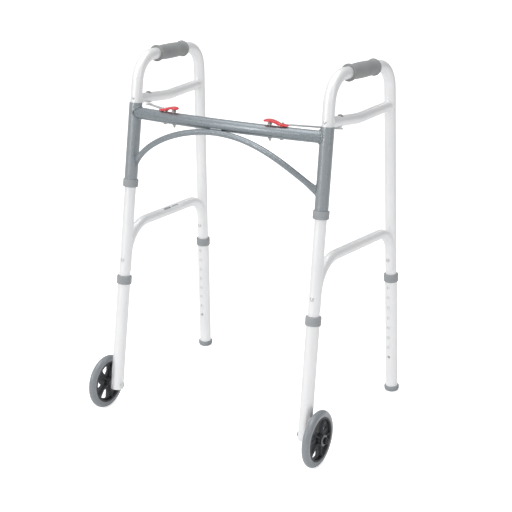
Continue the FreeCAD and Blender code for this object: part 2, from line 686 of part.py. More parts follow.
middle_parts = {
    "front_crossbar": bar,
    "lever_pivot_bolts": Part.makeCompound(pivot_bolts),
    "lever_guide_bolts": Part.makeCompound(guide_bolts),
    "arch_brace": arch_brace(bar),
}
side_parts = {
    "handle_tube": handle_tube(brace_rivets + [stop]),
    "handgrip": handgrip(),
    "upper_brace": upper_brace(),
    "latch_stud": latch_stud(),
    "latch_stud_nut": stud_nut(),
    "lower_brace": lower_brace(brace_rivets),
    "brace_rivets": Part.makeCompound(brace_rivets),
    "stop_rivet": stop,
    "front_button": snap_button(FRONT),
    "rear_button": snap_button(REAR),
    "front_extension": extension(FRONT, EXT_F_Z0, EXT_F_Z1, axle_hole),
    "rear_extension": extension(REAR, EXT_R_Z0, EXT_R_Z1, tip_seat),
    "front_collar": collar(FRONT, COLLAR_F_Z0, COLLAR_F_H, EXT_F_Z1),
    "rear_collar": collar(REAR, COLLAR_R_Z0, COLLAR_R_H, EXT_R_Z1),
    "rear_tip": rear_tip(),
    "tyre": tyre(),
    "wheel_hub": wheel_hub(),
    "wheel_axle": wheel_axle(),
    "axle_washers": axle_washers(),
    "axle_nut": axle_nut(),
    "front_sleeve": clean(FRONT.outer_tube(SLEEVE_Z0, SLEEVE_Z1)),
    "sleeve_bushing": sleeve_bushing(),
    "latch_strip": clean(strip),
    "release_paddle": release_paddle(strip),
    "lever_spring": lever_spring(),
}


def export(name, shape):
    solids = shape.Solids
    shape = solids[0] if len(solids) == 1 else Part.makeCompound(solids)
    shape.exportStep("parts/%s.step" % name)


os.makedirs("parts", exist_ok=True)
for name, shape in middle_parts.items():
    export(name, shape)
for name, shape in side_parts.items():
    export("right_" + name, shape)
    export("left_" + name, mirror(shape))
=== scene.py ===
"""Looks for a folding walking frame: front wheels, rear rubber tips and two red paddles.

The frame stands on z = 0 and faces -y, with x across it. Pieces are worked out in
millimetres for the right-hand side (+x) and mirrored to the left; the scene is in metres.
"""
import math
import bmesh
import bpy
from mathutils import Vector, Matrix


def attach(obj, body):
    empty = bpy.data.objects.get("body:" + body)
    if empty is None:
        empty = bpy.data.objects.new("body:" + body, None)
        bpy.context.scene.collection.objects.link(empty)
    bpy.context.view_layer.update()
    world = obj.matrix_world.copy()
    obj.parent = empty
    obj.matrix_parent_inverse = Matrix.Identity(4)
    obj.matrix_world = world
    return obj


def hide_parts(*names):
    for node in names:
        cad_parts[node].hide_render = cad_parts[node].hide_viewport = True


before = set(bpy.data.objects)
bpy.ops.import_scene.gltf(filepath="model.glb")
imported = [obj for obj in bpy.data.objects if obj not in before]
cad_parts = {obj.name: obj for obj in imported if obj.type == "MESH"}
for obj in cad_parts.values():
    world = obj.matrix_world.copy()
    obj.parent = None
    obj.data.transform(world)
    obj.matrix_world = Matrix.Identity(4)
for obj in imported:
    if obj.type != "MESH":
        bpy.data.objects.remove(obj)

bpy.context.view_layer.update()
METRES = 0.001                      # one millimetre
AXIS_X = Vector((1, 0, 0))
AXIS_Z = Vector((0, 0, 1))

# ------------------------------------------------------------------ frame dimensions (mm)
Y_SHIFT = 60.44                     # moves frame y to scene y
# plane of the side frame: x = SIDE_X + SIDE_PER_Y * y + SIDE_PER_Z * z
SIDE_X, SIDE_PER_Y, SIDE_PER_Z = 251.44, 0.0467, -0.02424
RAKE_Z = 800.0                      # height over which both rakes are measured
FRONT_RAKE, REAR_FOOT_Y, REAR_RAKE = 129.4, 285.0, 32.7
TUBE_R, OUTER_R, BRACE_R, ARCH_R = 12.7, 14.3, 11.1, 6.35
TOP_Y, TOP_Z, TOP_SLOPE = 70.7, 793.7, -0.0560      # a point on the top run, and its slope
BAR_Z, BAR_BOW, BAR_RISE = 679.0, 29.3, 4.75        # crossbar: end height, forward bow, rise
UPPER_BRACE = [(-30.0, 709.76), (112.0, 692.6), (262.0, 693.2)]     # (y, z) of its axis


def side_point(y, z):
    return Vector((SIDE_X + SIDE_PER_Y * y + SIDE_PER_Z * z, y - Y_SHIFT, z))


def front_y(z):
    return -FRONT_RAKE * (1.0 - z / RAKE_Z)


def rear_y(z):
    return REAR_FOOT_Y - REAR_RAKE * z / RAKE_Z


def front_at(z):
    """Point on the front leg's axis."""
    return side_point(front_y(z), z)


def rear_at(z):
    """Point on the rear leg's axis."""
    return side_point(rear_y(z), z)


FRONT_AXIS = (front_at(RAKE_Z) - front_at(0)).normalized()
REAR_AXIS = (rear_at(RAKE_Z) - rear_at(0)).normalized()
SIDE_NORMAL = Vector((1, -SIDE_PER_Y, -SIDE_PER_Z)).normalized()
# square to each leg within the side plane, pointing to the rear
FRONT_BACKWARD = FRONT_AXIS.cross(SIDE_NORMAL).normalized()
REAR_BACKWARD = REAR_AXIS.cross(SIDE_NORMAL).normalized()


# ------------------------------------------------------------------ mesh helpers (mm)
def square_to(axis):
    """Two unit vectors square to a unit axis; the first leans up unless the axis is steep."""
    reference = AXIS_Z if abs(axis.z) < 0.9 else AXIS_X
    up = (reference - axis * reference.dot(axis)).normalized()
    return up, axis.cross(up)


def mirrored(profile):
    """The profile's other half, about zero on the axis."""
    return [(-along, radius) for along, radius in profile[::-1]]


def lathe(profile, origin, axis, segments=96, loop=True, wobble=None):
    """Rings of (distance along axis, radius); loop joins the last point to the first.

    A radius of zero gives one vertex. wobble(along, radius, angle) is added to the radius.
    """
    axis = axis.normalized()
    up, across = square_to(axis)
    verts, faces, rings = [], [], []
    for along, radius in profile:
        if radius < 1e-6:
            rings.append([len(verts)])
            verts.append(origin + axis * along)
            continue
        rings.append(range(len(verts), len(verts) + segments))
        for k in range(segments):
            angle = 2 * math.pi * k / segments
            reach = radius + (wobble(along, radius, angle) if wobble else 0.0)
            verts.append(origin + axis * along + up * (reach * math.cos(angle))
                         + across * (reach * math.sin(angle)))
    pairs = list(zip(rings[:-1], rings[1:]))
    if loop:
        pairs.append((rings[-1], rings[0]))
    for first, second in pairs:
        for k in range(segments):
            k2 = (k + 1) % segments
            if len(first) == 1:
                faces.append((first[0], second[k2], second[k]))
            elif len(second) == 1:
                faces.append((first[k], first[k2], second[0]))
            else:
                faces.append((first[k], first[k2], second[k2], second[k]))
    return verts, faces


def bead(path, radius, closed=True, segments=12, ripple=0.0, count=40):
    """Tube along a list of points, swelling `count` times by `ripple` of its radius."""
    verts, faces, total = [], [], len(path)
    up = None
    for i, point in enumerate(path):
        before = path[(i - 1) % total] if (closed or i > 0) else point
        after = path[(i + 1) % total] if (closed or i < total - 1) else point
        tangent = (after - before).normalized()
        if up is None:
            up = square_to(tangent)[0]
        else:
            up = (up - tangent * up.dot(tangent)).normalized()
        across = tangent.cross(up)
        reach = radius * (1 + ripple * abs(math.sin(math.pi * count * i / total)))
        if not closed:              # taper both ends
            taper = min(i, total - 1 - i) / (0.12 * total)
            reach *= math.sin(min(1.0, taper + 0.18) * math.pi / 2)
        for k in range(segments):
            angle = 2 * math.pi * k / segments
            verts.append(point + up * (reach * math.cos(angle))
                         + across * (reach * math.sin(angle)))
    for i in range(total if closed else total - 1):
        j = (i + 1) % total
        twist = 0
        if closed and j == 0:       # match the twist where the ring closes
            base = verts[i * segments]
            twist = min(range(segments), key=lambda k: (verts[k] - base).length)
        for k in range(segments):
            k2 = (k + 1) % segments
            faces.append((i * segments + k, i * segments + k2,
                          j * segments + (k2 + twist) % segments,
                          j * segments + (k + twist) % segments))
    if not closed:
        faces.append(tuple(reversed(range(segments))))
        faces.append(tuple((total - 1) * segments + k for k in range(segments)))
    return verts, faces


def loft(sections):
    """Closed skin through rings of equal length."""
    size = len(sections[0])
    verts = [point for section in sections for point in section]
    faces = []
    for i in range(len(sections) - 1):
        for k in range(size):
            k2 = (k + 1) % size
            faces.append((i * size + k, i * size + k2,
                          (i + 1) * size + k2, (i + 1) * size + k))
    faces.append(tuple(reversed(range(size))))
    faces.append(tuple((len(sections) - 1) * size + k for k in range(size)))
    return verts, faces


def prism(outline, depth):
    """An outline pushed along the vector depth."""
    size = len(outline)
    verts = outline + [point + depth for point in outline]
    faces = [tuple(reversed(range(size))), tuple(size + k for k in range(size))]
    for k in range(size):
        k2 = (k + 1) % size
        faces.append((k, k2, size + k2, size + k))
    return verts, faces


def join(*parts):
    verts, faces = [], []
    for part_verts, part_faces in parts:
        offset = len(verts)
        verts += part_verts
        faces += [tuple(i + offset for i in face) for face in part_faces]
    return verts, faces


def on_cylinder(point, heading, centre, axis, radius):
    """Where the ray from point along heading first meets a cylinder."""
    heading = heading.normalized()
    apart = point - centre
    flat_heading = heading - axis * heading.dot(axis)
    flat_apart = apart - axis * apart.dot(axis)
    square = flat_heading.dot(flat_heading)
    linear_term = 2 * flat_heading.dot(flat_apart)
    constant = flat_apart.dot(flat_apart) - radius * radius
    root = math.sqrt(linear_term * linear_term - 4 * square * constant)
    return point + heading * ((-linear_term - root) / (2 * square))


def loop_on_cylinder(start, heading, first, second, centre, axis, radius, count):
    """An ellipse with half-axes first and second, thrown along heading onto a cylinder."""
    points = []
    for k in range(count):
        angle = 2 * math.pi * k / count
        offset = first * math.cos(angle) + second * math.sin(angle)
        points.append(on_cylinder(start + offset, heading, centre, axis, radius))
    return points


def piece(name, data, body, material, slot, replaces=None, flip=False, sharp=32.0, subsurf=0):
    """Make an object from mm data; sharp is the angle in degrees that stays a hard edge."""
    verts, faces = data
    if flip:
        verts = [Vector((-p.x, p.y, p.z)) for p in verts]
    mesh = bpy.data.meshes.new(name)
    mesh.from_pydata([tuple(p * METRES) for p in verts], [], faces)
    edit = bmesh.new()
    edit.from_mesh(mesh)
    bmesh.ops.recalc_face_normals(edit, faces=edit.faces)
    edit.to_mesh(mesh)
    edit.free()
    mesh.polygons.foreach_set("use_smooth", [True] * len(mesh.polygons))
    mesh.set_sharp_from_angle(angle=math.radians(sharp))
    obj = bpy.data.objects.new(name, mesh)
    bpy.context.scene.collection.objects.link(obj)
    mesh.materials.append(material)
    if subsurf:
        modifier = obj.modifiers.new("sub", "SUBSURF")
        modifier.levels = modifier.render_levels = subsurf
    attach(obj, body)
    if replaces:
        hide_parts(replaces)


def both(name, data, body, material, slot, replaces=None, **options):
    """The right-hand piece and its mirror image."""
    for side, flip in (("right_", False), ("left_", True)):
        piece(side + name, data, body if body == "front_frame" else side + body, material,
              slot, replaces and side + replaces, flip=flip, **options)


# ------------------------------------------------------------------ shader helpers
class Nodes:
    """Adds and wires nodes in an emptied node tree."""

    def __init__(self, tree):
        self.tree = tree
        tree.nodes.clear()

    def feed(self, node, inputs):
        """Link sockets to, or set values on, a node's inputs."""
        for key, source in inputs.items():
            if isinstance(source, bpy.types.NodeSocket):
                self.tree.links.new(source, node.inputs[key])
            else:
                node.inputs[key].default_value = source

    def add(self, kind, inputs={}, **settings):
        node = self.tree.nodes.new("ShaderNode" + kind)
        for key, value in settings.items():
            setattr(node, key, value)
        self.feed(node, inputs)
        return node

    def ramp(self, factor, stops):
        """Colour ramp of (position, colour) stops, in order."""
        node = self.add("ValToRGB", {"Fac": factor})
        elements = node.color_ramp.elements
        for i in (0, 1):
            elements[i].position, elements[i].color = stops[-i]
        for position, colour in stops[1:-1]:
            elements.new(position).color = colour
        return node.outputs["Color"]

    def span(self, value, low, high, start=0.0, end=1.0):
        """Map start..end to low..high."""
        return self.add("MapRange", {"From Min": start, "From Max": end, "To Min": low,
                                     "To Max": high, "Value": value}).outputs["Result"]

    def math(self, operation, first, second):
        return self.add("Math", {0: first, 1: second}, operation=operation).outputs[0]


class Shader(Nodes):
    """A new material with one Principled shader."""

    def __init__(self, name):
        self.material = bpy.data.materials.new(name)
        self.material.use_nodes = True
        super().__init__(self.material.node_tree)
        output = self.add("OutputMaterial")
        self.principled = self.add("BsdfPrincipled")
        self.feed(output, {"Surface": self.principled.outputs["BSDF"]})

    def surface(self, inputs):
        self.feed(self.principled, inputs)

    def coords(self, scale=(1, 1, 1)):
        place = self.add("TexCoord").outputs["Object"]
        return self.add("Mapping", {"Scale": scale, "Vector": place}).outputs["Vector"]

    def noise(self, vector, scale, detail=3.0, rough=0.5):
        return self.add("TexNoise", {"Scale": scale, "Detail": detail, "Roughness": rough,
                                     "Vector": vector}).outputs["Fac"]

    def mix(self, factor, first, second):
        # inputs 6 and 7 and output 2 are the mix node's colour sockets
        return self.add("Mix", {0: factor, 6: first, 7: second}, data_type="RGBA").outputs[2]

    def edge_wear(self, amount):
        """Rises to amount on convex edges."""
        pointiness = self.add("NewGeometry").outputs["Pointiness"]
        edge = self.span(pointiness, low=0.0, high=1.0, start=0.50, end=0.60)
        return self.math("MULTIPLY", edge, amount)

    def bump(self, height, strength, distance):
        """Lay a bump over those already on the surface."""
        inputs = {"Strength": strength, "Distance": distance, "Height": height}
        normal = self.principled.inputs["Normal"]
        if normal.is_linked:
            inputs["Normal"] = normal.links[0].from_socket
        self.surface({"Normal": self.add("Bump", inputs).outputs["Normal"]})


def linear(rgb, gain=1.0):
    """Linear RGBA from an sRGB colour in 0..255, brightened by gain."""
    shares = [min(255.0, value * gain) / 255.0 for value in rgb]
    return tuple(v / 12.92 if v <= 0.04045 else ((v + 0.055) / 1.055) ** 2.4
                 for v in shares) + (1.0,)


# ------------------------------------------------------------------ materials
def tube_metal(name, line_scale):
    """Clear satin anodised aluminium with faint drawing lines along the tube."""
    shader = Shader(name)
    lines = shader.noise(shader.coords(line_scale), scale=1.0, detail=4.0, rough=0.6)
    cloud = shader.noise(shader.coords(), scale=9.0)
    speck = shader.noise(shader.coords(), scale=420.0, detail=2.0)
    base = shader.ramp(cloud, [(0.3, (0.865, 0.868, 0.872, 1.0)),
                               (0.7, (0.915, 0.915, 0.917, 1.0))])
    base = shader.mix(shader.span(lines, low=0.0, high=0.18), base, (0.70, 0.705, 0.71, 1.0))
    rough = shader.math("ADD", shader.span(lines, low=0.32, high=0.44),
                        shader.span(speck, low=-0.02, high=0.03))
    shader.surface({"Base Color": base, "Metallic": 0.4, "Roughness": rough})
    shader.bump(lines, strength=0.12, distance=0.00012)
    shader.bump(speck, strength=0.08, distance=0.0001)
    return shader.material


def hammertone():
    """Grey hammertone paint: shallow dimples, metallic flake, clear top film."""
    shader = Shader("hammertone_grey")
    place = shader.coords()
    dimples = shader.add("TexVoronoi", {"Scale": 420.0, "Smoothness": 0.6, "Vector": place},
                         feature="SMOOTH_F1").outputs["Distance"]
    fine = shader.noise(place, scale=900.0, rough=0.6)
    wide = shader.noise(place, scale=14.0, detail=2.0)
    base = shader.ramp(dimples, [(0.10, linear((146, 154, 159))),
                                 (0.75, linear((118, 126, 131)))])
    base = shader.mix(shader.span(wide, low=0.0, high=0.22), base, linear((158, 166, 170)))
    base = shader.mix(shader.edge_wear(0.35), base, linear((176, 180, 182)))
    shader.surface({"Base Color": base, "Metallic": 0.55,
                    "Roughness": shader.span(fine, low=0.26, high=0.40),
                    "Coat Weight": 0.45, "Coat Roughness": 0.12})
    shader.bump(dimples, strength=0.6, distance=0.0005)
    shader.bump(fine, strength=0.12, distance=0.0002)
    return shader.material


def plastic(name, dark, light, rough, grain, strength, depth=0.00015, coat=0.0, spec=0.5,
            patch=22.0, wear=None):
    """Grained plastic in two patchy tones; the last argument is (edge colour, amount), a
    painted highlight mixed in on convex edges.
    """
    shader = Shader(name)
    place = shader.coords()
    fine = shader.noise(place, scale=grain, rough=0.6)
    wide = shader.noise(place, scale=patch)
    base = shader.ramp(wide, [(0.32, linear(dark)), (0.68, linear(light))])
    base = shader.mix(shader.span(fine, low=0.0, high=0.12), base, linear(light, gain=1.12))
    # painted highlight: a paler colour mixed onto convex edges
    if wear:
        base = shader.mix(shader.edge_wear(wear[1]), base, linear(wear[0]))
    shader.surface({"Base Color": base, "Specular IOR Level": spec,
                    "Roughness": shader.span(fine, *rough, start=0.3, end=0.7)})
    if coat:
        shader.surface({"Coat Weight": coat, "Coat Roughness": 0.08})
    shader.bump(fine, strength=strength, distance=depth)
    shader.bump(wide, strength=0.15, distance=0.0006)
    return shader.material


def metal(name, colour, rough, scale=(300, 300, 300), dark=0.2):
    """Bare metal, streaked by up to `dark` of a darker tone."""
    shader = Shader(name)
    streaks = shader.noise(shader.coords(scale), scale=1.0, detail=4.0, rough=0.6)
    fine = shader.noise(shader.coords(), scale=1400.0, detail=2.0)
    base = shader.mix(shader.span(streaks, low=0.0, high=dark), linear(colour),
                      linear(colour, gain=0.62))
    base = shader.mix(shader.edge_wear(0.4), base, linear(colour, gain=1.15))
    shader.surface({"Base Color": base, "Metallic": 1.0,
                    "Roughness": shader.span(streaks, *rough, start=0.3, end=0.7)})
    shader.bump(streaks, strength=0.15, distance=0.0001)
    shader.bump(fine, strength=0.12, distance=0.00008)
    return shader.material


LEG = tube_metal("anodised_leg", line_scale=(900, 900, 7))
RAIL = tube_metal("anodised_rail", line_scale=(900, 7, 900))
HAMMER = hammertone()
GRIP = plastic("grip_vinyl", dark=(136, 138, 139), light=(150, 152, 152),
               rough=(0.46, 0.62), grain=1300, strength=0.35, depth=0.0002, spec=0.45)
GREY = plastic("grey_moulding", dark=(146, 149, 151), light=(158, 161, 163),
               rough=(0.36, 0.5), grain=1600, strength=0.2)
TIP = plastic("tip_rubber", dark=(139, 144, 147), light=(152, 156, 159),
              rough=(0.55, 0.72), grain=900, strength=0.4, depth=0.0002)
TYRE = plastic("tyre_grey", dark=(123, 128, 133), light=(135, 140, 145),
               rough=(0.24, 0.34), grain=1100, strength=0.08, coat=0.9, patch=16)
# the grey mixed onto the black hub's convex edges is a painted highlight, the light lines
# along its shiny ribs
HUB = plastic("hub_black", dark=(26, 27, 30), light=(36, 37, 40), rough=(0.38, 0.5),
              grain=1200, strength=0.2, spec=0.42, wear=((110, 112, 116), 0.5))
# the pale pink mixed onto the paddle's convex edges is a painted highlight
RED = plastic("paddle_red", dark=(206, 34, 44), light=(222, 46, 56), rough=(0.16, 0.26),
              grain=800, strength=0.06, coat=0.5, wear=((240, 110, 116), 0.5))
ZINC = metal("zinc_steel", colour=(196, 196, 192), rough=(0.22, 0.36))
STRIP = metal("strip_steel", colour=(218, 220, 221), rough=(0.34, 0.46),
              scale=(60, 600, 600))
BLACK = metal("black_oxide", colour=(70, 70, 74), rough=(0.25, 0.4), dark=0.5)
WASHER = plastic("washer_nylon", dark=(112, 114, 117), light=(126, 128, 131),
                 rough=(0.35, 0.5), grain=1500, strength=0.12)
AXLE = plastic("axle_head", dark=(204, 206, 207), light=(216, 218, 218),
               rough=(0.3, 0.42), grain=1400, strength=0.1)
NUT = metal("nut_steel", colour=(160, 162, 166), rough=(0.22, 0.34), dark=0.4)
# rim grey, darker than the tube: painted shade for the dark inside of each height hole
HOLE_RIM_SHADE = plastic("punched_edge", dark=(202, 204, 206), light=(212, 214, 216),
               rough=(0.3, 0.42), grain=1400, strength=0.1)
RIVET = metal("rivet_aluminium", colour=(214, 214, 214), rough=(0.28, 0.4))
LABEL = plastic("label_print", dark=(226, 228, 229), light=(234, 235, 236),
                rough=(0.3, 0.42), grain=2200, strength=0.05)
INK = plastic("label_ink", dark=(150, 152, 154), light=(164, 166, 168),
              rough=(0.4, 0.5), grain=2200, strength=0.05)

# material of each CAD piece, by its name without the side
CAD_MATERIALS = {name: material for material, names in (
    (LEG, "handle_tube front_extension rear_extension"),
    (RAIL, "upper_brace lower_brace"),
    (HAMMER, "front_crossbar arch_brace front_sleeve"),
    (GREY, "sleeve_bushing front_collar rear_collar"),
    (TIP, "rear_tip"), (GRIP, "handgrip"), (TYRE, "tyre"), (HUB, "wheel_hub"),
    (RED, "release_paddle"), (STRIP, "latch_strip"),
    (ZINC, "lever_pivot_bolts lever_guide_bolts lever_spring latch_stud axle_washers "
           "front_button rear_button"),
    (NUT, "latch_stud_nut"), (RIVET, "brace_rivets stop_rivet"),
    (AXLE, "wheel_axle"), (BLACK, "axle_nut"),
) for name in names.split()}

for name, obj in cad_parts.items():
    mesh = obj.data
    mesh.materials.clear()
    mesh.materials.append(CAD_MATERIALS[name.replace("right_", "").replace("left_", "")])
    mesh.polygons.foreach_set("material_index", [0] * len(mesh.polygons))

# the handle tube's top run has its drawing lines along y
TOP_RUN_ABOVE = 0.768               # metres
for side in ("right_", "left_"):
    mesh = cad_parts[side + "handle_tube"].data
    mesh.materials.append(RAIL)
    for face in mesh.polygons:
        if face.center.z > TOP_RUN_ABOVE:
            face.material_index = 1

# ------------------------------------------------------------------ handgrips
GRIP_START_Y, GRIP_LENGTH = 68.4, 112.0


def top_run(y):
    """Point on the axis of the handle tube's top run."""
    return side_point(y, TOP_Z + TOP_SLOPE * (y - TOP_Y))


# where the top run's axis crosses the front and rear leg axes
top_z_at_zero = TOP_Z - TOP_SLOPE * TOP_Y
rear_lean = REAR_RAKE / RAKE_Z
top_front_y = (top_z_at_zero - RAKE_Z) / (RAKE_Z / FRONT_RAKE - TOP_SLOPE)
top_rear_y = (REAR_FOOT_Y - rear_lean * top_z_at_zero) / (1.0 + rear_lean * TOP_SLOPE)
top_axis = (top_run(top_rear_y) - top_run(top_front_y)).normalized()

# (along, radius) from the front end to mid-length
GRIP_HALF = [
    (0.4, 12.76), (-0.2, 13.2), (-0.2, 14.2), (0.5, 14.8), (0.8, 15.6), (0.2, 16.5),
    (0.2, 17.3), (0.8, 18.0), (1.9, 18.3), (3.1, 18.2), (4.1, 17.5), (4.7, 16.3),
    (5.3, 15.7), (6.2, 15.6), (6.8, 16.1), (7.3, 16.6), (8.3, 16.75), (9.1, 16.5),
    (9.7, 15.85), (10.5, 15.45), (12.5, 15.45), (18, 15.8), (26, 16.2), (34, 16.5),
    (44, 16.7), (56, 16.8)]
grip_profile = GRIP_HALF + [(GRIP_LENGTH - a, r) for a, r in GRIP_HALF[-2::-1]]


def grip_ridge(along, radius, angle):
    """Mould parting ridge along the top and the underside, clear of the end rings."""
    if radius < 14.9 or along < 5.0 or along > GRIP_LENGTH - 5.0:
        return 0.0
    away = min(abs(math.sin(angle / 2.0)), abs(math.cos(angle / 2.0))) * 2.0
    return 0.16 * math.exp(-(away / 0.035) ** 2)


both("grip_sleeve", lathe(grip_profile, top_run(GRIP_START_Y), top_axis, 180,
                          wobble=grip_ridge),
     "side_frame", GRIP, "grip_vinyl", "handgrip", sharp=60)

# ------------------------------------------------------------------ collars on the legs
COLLAR_R = 16.8
OUTER_BORE, TUBE_BORE = OUTER_R + 0.05, TUBE_R + 0.12
# end, point on leg, leg axis, z of the collar's foot, height, z of the step in its bore
for end, leg_at, leg_axis, foot_z, height, step_z in (
        ("front", front_at, FRONT_AXIS, 298.5, 19.0, 314.5),
        ("rear", rear_at, REAR_AXIS, 280.7, 18.6, 296.5)):
    top = (leg_at(foot_z + height) - leg_at(foot_z)).length
    step = (leg_at(step_z) - leg_at(foot_z)).length + 0.1
    profile = [
        (0.2, OUTER_BORE), (0.0, 14.8), (0.0, COLLAR_R - 1.3), (0.25, COLLAR_R - 0.6),
        (0.8, COLLAR_R - 0.1), (1.6, COLLAR_R), (3.6, COLLAR_R), (4.0, COLLAR_R - 0.25),
        (4.5, COLLAR_R - 0.25), (4.9, COLLAR_R), (top - 3.0, COLLAR_R),
        (top - 1.8, COLLAR_R - 0.15), (top - 0.9, COLLAR_R - 0.6),
        (top - 0.35, COLLAR_R - 1.4), (top, COLLAR_R - 2.4), (top, 13.1),
        (top - 0.3, TUBE_BORE), (step, TUBE_BORE), (step, OUTER_BORE)]
    both(end + "_collar_ring", lathe(profile, leg_at(foot_z), leg_axis), end + "_leg",
         GREY, "grey_plastic", end + "_collar", sharp=38)

# ------------------------------------------------------------------ sleeve bushings
BUSHING_Z, BUSHING_STEP_Z, BUSHING_TOP_Z = 517.0, 520.0, 534.0
top = (front_at(BUSHING_TOP_Z) - front_at(BUSHING_Z)).length
step = (front_at(BUSHING_STEP_Z) - front_at(BUSHING_Z)).length - 0.1
bushing_profile = [
    (0.0, 12.85), (0.0, 15.2), (0.4, 16.0), (1.1, 16.6), (2.1, 16.95), (3.2, 17.0),
    (5.0, 17.0), (5.3, 16.75), (5.8, 16.75), (6.1, 17.0), (top - 2.0, 17.0),
    (top - 1.0, 16.9), (top - 0.3, 16.4), (top, 15.6), (top, 14.7),
    (top - 0.3, OUTER_BORE), (step, OUTER_BORE), (step, 12.85)]
both("bushing_ring", lathe(bushing_profile, front_at(BUSHING_Z), FRONT_AXIS),
     "front_frame", GREY, "grey_plastic", "sleeve_bushing", sharp=38)

# ------------------------------------------------------------------ rear tips
TIP_START_Z = -4.0                  # below the floor; the foot is then flattened onto it
TIP_PROFILE = [                     # (along the leg, radius)
    (2.6, 0), (2.6, 4.0), (3.2, 4.4), (3.2, 7.4), (2.6, 7.8), (2.6, 11.6), (3.0, 12.9),
    (3.8, 14.1), (4.8, 15.2), (6.0, 16.1), (7.4, 16.8), (8.8, 17.25), (10.0, 17.5),
    (10.5, 17.2), (11.0, 17.2), (11.3, 17.5), (14.4, 17.4), (15.6, 17.15), (16.4, 16.6),
    (16.8, 15.8), (16.8, 14.8), (16.4, 14.36), (9.4, 14.36), (9.1, 13.9), (9.1, 0)]
verts, faces = lathe(TIP_PROFILE, rear_at(TIP_START_Z), REAR_AXIS, loop=False)
verts = [Vector((p.x, p.y, max(p.z, 0.0))) for p in verts]
both("tip_cup", (verts, faces), "rear_leg", TIP, "tip_rubber", "rear_tip", sharp=40)

# ------------------------------------------------------------------ wheels
WHEEL_R, WHEEL_OUT = 62.0, 30.2     # radius, and centre outside the leg's axis
TREAD_RISE, TREAD_HALF = 9.5, 8.7   # half ellipse of the tyre's section
wheel_centre = front_at(WHEEL_R) + AXIS_X * WHEEL_OUT

TYRE_FOOT = [(-7.8, 48.35), (-8.1, 49.2), (-8.55, 50.0), (-8.45, 50.8)]
tread = []
for k in range(37):
    angle = math.radians(-90 + 5 * k)
    x = TREAD_HALF * math.sin(angle)
    radius = WHEEL_R - TREAD_RISE + TREAD_RISE * math.cos(angle)
    if k in (5, 31):                # a fine groove on each shoulder
        radius -= 0.28
        x *= 0.975
    tread.append((x, radius))
both("tyre_ring", lathe(TYRE_FOOT + tread + mirrored(TYRE_FOOT), wheel_centre, AXIS_X, 160),
     "wheel", TYRE, "wheel_tyre", "tyre", sharp=50)

# rim and boss: (along x, radius), each half mirrored
RIM_OUTSIDE = [(-8.2, 44.3), (-8.65, 44.8), (-8.75, 45.9), (-8.7, 47.8), (-8.1, 48.4)]
RIM_INSIDE = [(5.4, 43.4), (2.8, 42.3), (2.2, 40.6)]
BOSS_HALF = [(-14.3, 4.1), (-14.3, 9.4), (-13.9, 10.0), (-13.3, 10.3), (-12.2, 10.4),
             (-11.8, 11.6), (-11.2, 12.1), (-3.0, 12.8), (-2.2, 13.6)]
SPOKES, FIRST_SPOKE = 5, 65         # count, and angle of the first in degrees
SPOKE_PITCH = 360 // SPOKES
WINDOW_HALF = 15.0                  # half angle of a window between spokes, degrees
PLATE_FROM, PLATE_TO, PLATE_THICK = 12.0, 42.6, 4.2
RIB_FROM, RIB_TO = 11.2, 44.2


def spoke_plate(outward, sideways):
    """The web left between two windows, flared at the boss and the rim."""
    left, right = [], []
    for j in range(25):
        radius = PLATE_FROM + (PLATE_TO - PLATE_FROM) * j / 24.0
        window = WINDOW_HALF * (0.85 + 0.15 * min(1.0, max(0.0, (radius - 17.0) / 24.6)))
        width = radius * math.sin(math.radians(SPOKE_PITCH / 2 - window))
        if radius > 35.6:
            width += 6.4 * ((radius - 35.6) / 7.0) ** 2
        if radius < 25.0:
            width += 4.4 * ((25.0 - radius) / 13.0) ** 2
        middle = wheel_centre + outward * radius
        left.append(middle + sideways * width - AXIS_X * (PLATE_THICK / 2))
        right.append(middle - sideways * width - AXIS_X * (PLATE_THICK / 2))
    return prism(left + right[::-1], AXIS_X * PLATE_THICK)


def spoke_rib(outward, sideways, face):
    """Rib on one face of a plate; its rounded crest drops a little towards the rim."""
    sections = []
    for j in range(21):
        radius = RIB_FROM + (RIB_TO - RIB_FROM) * j / 20.0
        share = (radius - RIB_FROM) / (RIB_TO - RIB_FROM)
        crest = 11.0 - 2.9 * min(1.0, share * 2.2) ** 0.8
        half = 1.2 - 0.1 * share
        middle = wheel_centre + outward * radius
        # (height from the wheel's mid plane, share of the half thickness)
        outline = ((1.5, 1), (crest - 0.7, 0.82), (crest - 0.15, 0.5), (crest, 0),
                   (crest - 0.15, -0.5), (crest - 0.7, -0.82), (1.5, -1))
        sections.append([middle + AXIS_X * (face * x) + sideways * (half * part)
                         for x, part in outline])
    return loft(sections)


hub_parts = [lathe(RIM_OUTSIDE + mirrored(RIM_OUTSIDE) + RIM_INSIDE + mirrored(RIM_INSIDE),
                   wheel_centre, AXIS_X, 160),
             lathe(BOSS_HALF + mirrored(BOSS_HALF), wheel_centre, AXIS_X)]
for k in range(SPOKES):
    angle = math.radians(FIRST_SPOKE + SPOKE_PITCH * k)
    outward = Vector((0, math.cos(angle), math.sin(angle)))
    sideways = Vector((0, -math.sin(angle), math.cos(angle)))
    hub_parts.append(spoke_plate(outward, sideways))
    hub_parts += [spoke_rib(outward, sideways, face) for face in (1, -1)]
both("hub_spokes", join(*hub_parts), "wheel", HUB, "hub_plastic", "wheel_hub", sharp=34)


# ------------------------------------------------------------------ axle washers and nuts
def washer(start, end, radius, segments):
    """Washer on the axle, its edges rounded."""
    profile = [(start, 4.2), (start, radius - 0.5), (start + 0.15, radius - 0.15),
               (start + 0.5, radius), (end - 0.5, radius), (end - 0.15, radius - 0.15),
               (end, radius - 0.5), (end, 4.2)]
    return lathe(profile, wheel_centre, AXIS_X, segments)


